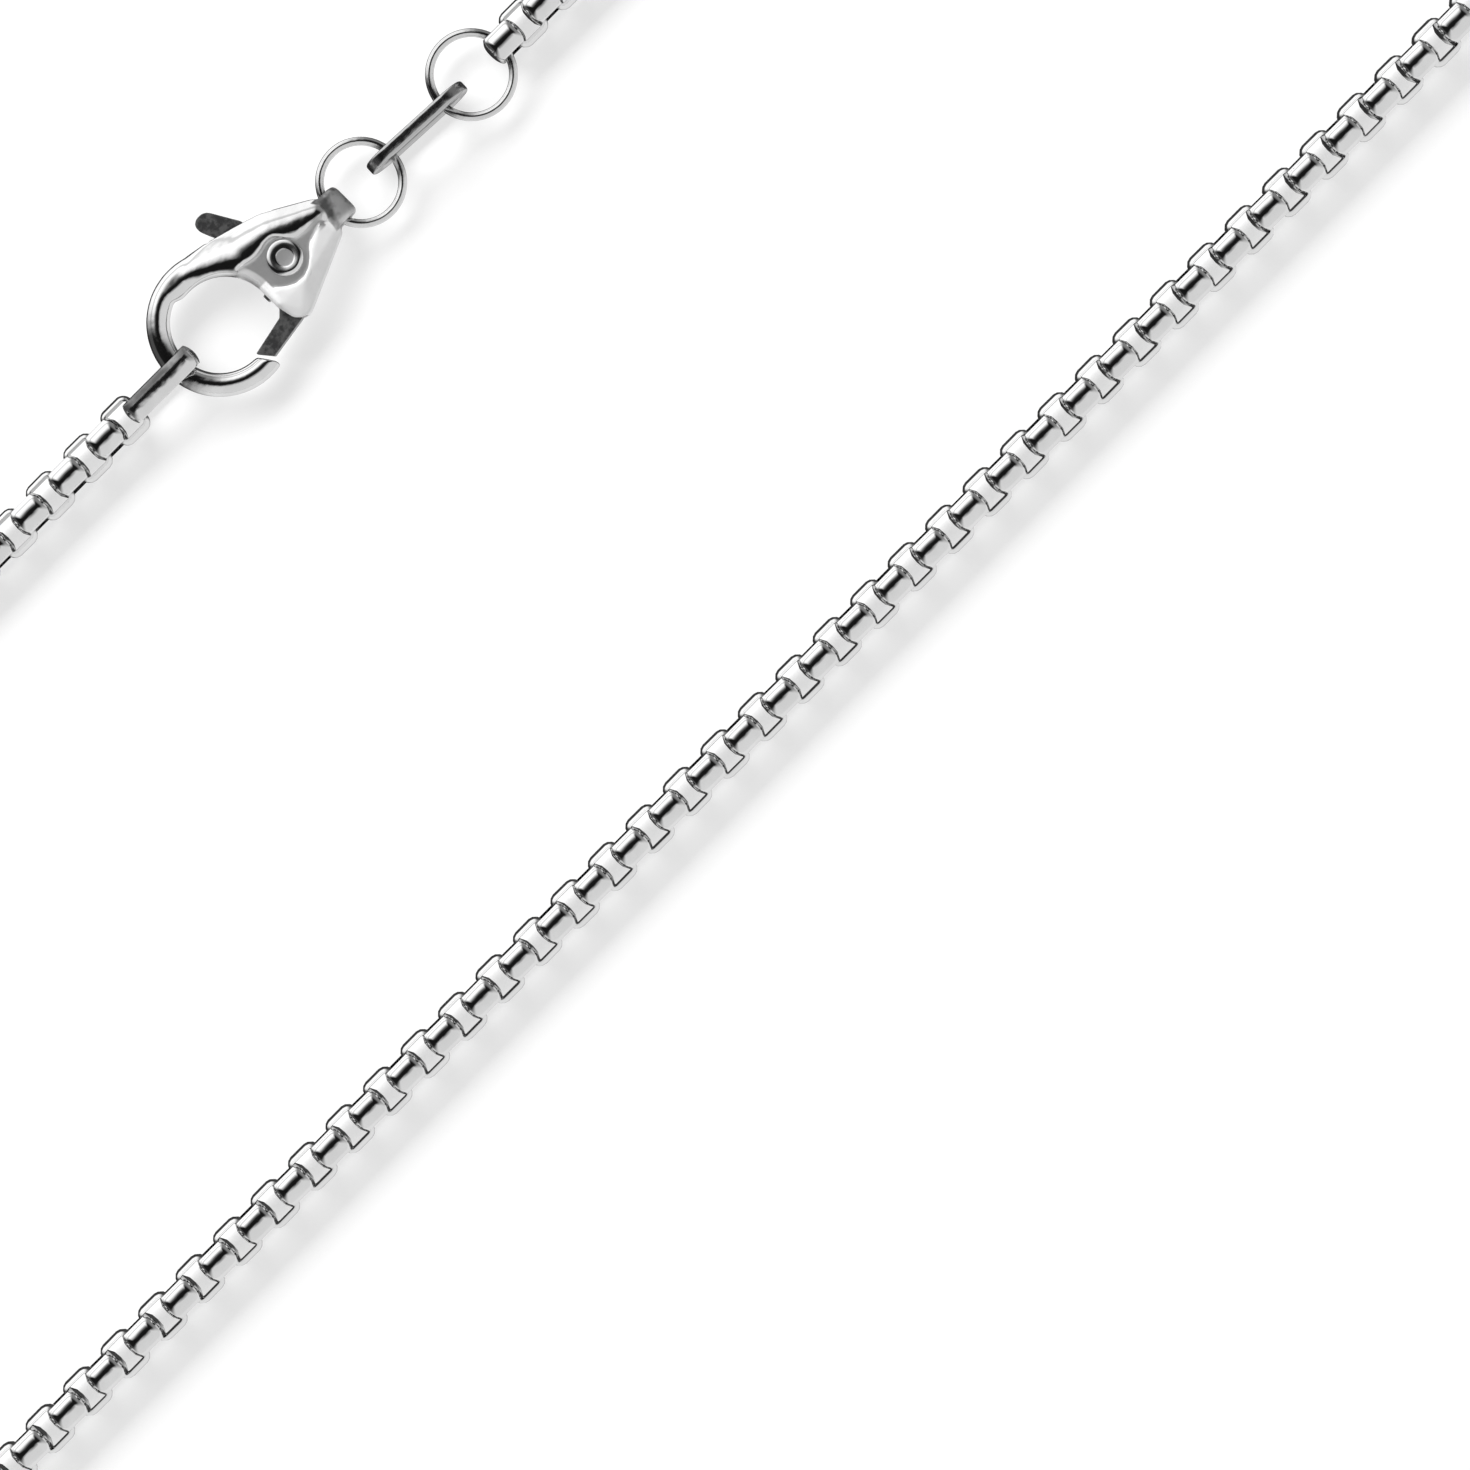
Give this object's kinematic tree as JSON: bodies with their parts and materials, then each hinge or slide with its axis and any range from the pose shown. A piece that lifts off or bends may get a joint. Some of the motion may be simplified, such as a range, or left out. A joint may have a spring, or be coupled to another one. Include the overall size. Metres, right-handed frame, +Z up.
{
  "type": "box chain necklace",
  "caption": "Closed box chain necklace with a lobster clasp, laid flat in two long parallel strands.",
  "frame": {"origin": "middle of the closed loop, on the surface that the necklace lies on", "axes": "+X along the two strands, from the clasp's hook towards its eye; +Y towards the strand with the clasp; +Z up from the surface"},
  "size_m": [0.21, 0.0349, 0.0027],
  "materials": {
    "chain_silver": "bright polished silver",
    "clasp_silver": "bright polished silver",
    "ring_silver": "polished silver wire",
    "lever_steel": "dark satin"
  },
  "bodies": {
    "necklace": {"chain": "chain_silver", "end_link_hook_side": "chain_silver", "end_link_ring_side": "chain_silver", "hook_link": "chain_silver", "clasp_body": "clasp_silver", "clasp_rivet": "clasp_silver", "eye_ring": "ring_silver", "oval_link": "ring_silver", "chain_ring": "ring_silver"},
    "lever": {"clasp_lever": "lever_steel"}
  },
  "joints": [
    {"name": "lever_hinge", "type": "hinge", "parent": "necklace", "child": "lever", "pos_m": [0.001, 0.01485, 0.0012], "axis": [0, 0, -1], "range_deg": [0, 26], "stiffness_Nm_per_rad": 0.002, "springref_deg": -11.46}
  ]
}
